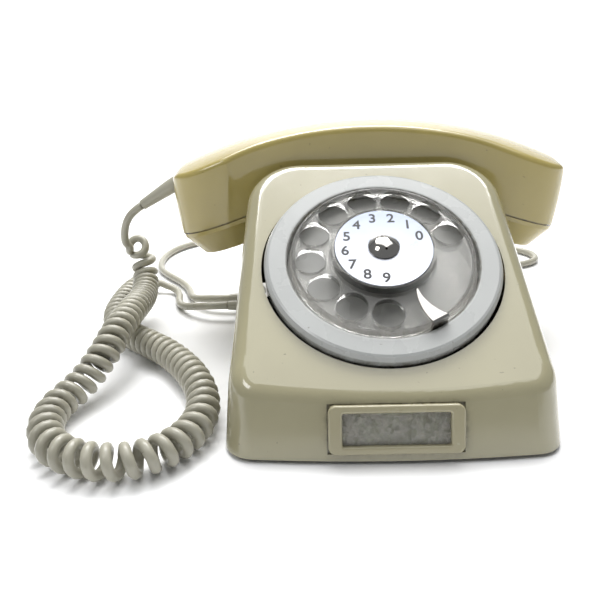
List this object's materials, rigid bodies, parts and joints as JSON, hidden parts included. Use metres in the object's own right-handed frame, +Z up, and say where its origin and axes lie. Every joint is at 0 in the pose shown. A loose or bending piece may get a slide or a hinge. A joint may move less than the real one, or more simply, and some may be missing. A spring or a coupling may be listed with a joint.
{
  "type": "rotary telephone",
  "caption": "Desk telephone with a sloping front, a clear finger wheel over a metal number plate, an arched handset lying across a cradle, a curly handset cord and a line cord.",
  "frame": {"origin": "On the table, under the middle of the telephone's box without its cords", "axes": "+Z up, +X to the right of the person who dials, along the handset, -Y towards that person"},
  "size_m": [0.2916, 0.3268, 0.116],
  "materials": {
    "case_plastic": "glossy ivory moulded plastic",
    "handset_plastic": "glossy cream moulded plastic, slightly yellowed",
    "bezel_plastic": "smooth light grey plastic",
    "dial_plastic": "smooth pale grey plastic",
    "clear_plastic": "clear acrylic, slightly aged",
    "number_metal": "satin metal with printed digits",
    "bright_metal": "polished plating",
    "plated_steel": "zinc plated",
    "brass": "machined",
    "base_metal": "grey painted sheet",
    "foot_rubber": "matt black rubber",
    "label_plastic": "glossy ivory plastic, a little lighter than the case",
    "label_paper": "plain paper card",
    "cord_grey": "soft grey vinyl",
    "dark_plastic": "dark moulded insulation"
  },
  "bodies": {
    "phone": {"base_plate": "base_metal", "base_screws": "plated_steel", "board_standoffs": "dark_plastic", "capacitor": "dark_plastic", "case_shell": "case_plastic", "circuit_board": "dark_plastic", "curly_cord_gland": "cord_grey", "dial_back_plate": "plated_steel", "dial_bezel": "bezel_plastic", "dial_face": "dial_plastic", "dial_frame": "plated_steel", "dial_pillars": "plated_steel", "dial_screws": "plated_steel", "finger_stop": "bright_metal", "gong_posts": "plated_steel", "governor_cup": "plated_steel", "handset_cord_coil": "cord_grey", "handset_cord_lead": "cord_grey", "handset_cord_tail": "cord_grey", "hook_contacts": "plated_steel", "label_card": "label_paper", "label_frame": "label_plastic", "label_window": "clear_plastic", "line_cord": "cord_grey", "line_cord_coil": "cord_grey", "line_cord_gland": "cord_grey", "line_cord_tail": "cord_grey", "line_plug": "cord_grey", "plug_pins": "brass", "pulse_contacts": "plated_steel", "return_spring": "plated_steel", "ringer_coils": "dark_plastic", "ringer_core": "plated_steel", "ringer_gongs": "brass", "rubber_feet": "foot_rubber", "terminal_block": "dark_plastic", "transformer": "dark_plastic", "yoke_bracket": "plated_steel", "yoke_spring": "plated_steel"},
    "dial": {"finger_wheel": "clear_plastic", "number_plate": "number_metal", "dial_centre_nut": "bright_metal", "dial_shaft": "plated_steel", "main_gear": "brass"},
    "dial_train": {"intermediate_gear": "brass", "pulse_cam": "brass"},
    "governor": {"governor_spindle": "brass", "governor_weights": "plated_steel"},
    "handset": {"handset_shell": "handset_plastic", "mouthpiece_cap": "handset_plastic", "earpiece_cap": "handset_plastic", "receiver_capsule": "plated_steel", "transmitter_capsule": "plated_steel", "capsule_contacts": "brass", "handset_boot": "cord_grey"},
    "cradle": {"cradle_plungers": "bright_metal", "cradle_yoke": "dark_plastic"},
    "clapper": {"clapper": "plated_steel", "ringer_armature": "plated_steel"}
  },
  "joints": [
    {"name": "finger_wheel_turn", "type": "hinge", "parent": "phone", "child": "dial", "pos_m": [0, -0.042, 0.0685], "axis": [0, 0.5299, -0.848], "range_deg": [0, 312], "stiffness_Nm_per_rad": 0.004, "springref_deg": -34.38},
    {"name": "dial_train_turn", "type": "hinge", "parent": "phone", "child": "dial_train", "pos_m": [-0.02631, -0.03952, 0.04646], "axis": [0, 0.5299, -0.848], "range_deg": [-1249, 1]},
    {"name": "governor_turn", "type": "hinge", "parent": "phone", "child": "governor", "pos_m": [-0.01531, -0.05328, 0.03787], "axis": [0, 0.5299, -0.848], "range_deg": [-1, 3121]},
    {"name": "handset_lift", "type": "slide", "parent": "phone", "child": "handset", "axis": [0, 0, 1], "range_m": [0, 0.12]},
    {"name": "cradle_rise", "type": "slide", "parent": "phone", "child": "cradle", "axis": [0, 0, 1], "range_m": [0, 0.005], "deforming": ["yoke_spring"]},
    {"name": "clapper_swing", "type": "hinge", "parent": "phone", "child": "clapper", "pos_m": [0, 0.038, 0.0135], "axis": [0, 0, 1], "range_deg": [-2.5, 2.5], "stiffness_Nm_per_rad": 0.002}
  ],
  "couplings": [
    {"joint": "dial_train_turn", "follows": "finger_wheel_turn", "ratio": -4},
    {"joint": "governor_turn", "follows": "finger_wheel_turn", "ratio": 10},
    {"joint": "cradle_rise", "follows": "handset_lift", "ratio": 0.041667}
  ]
}
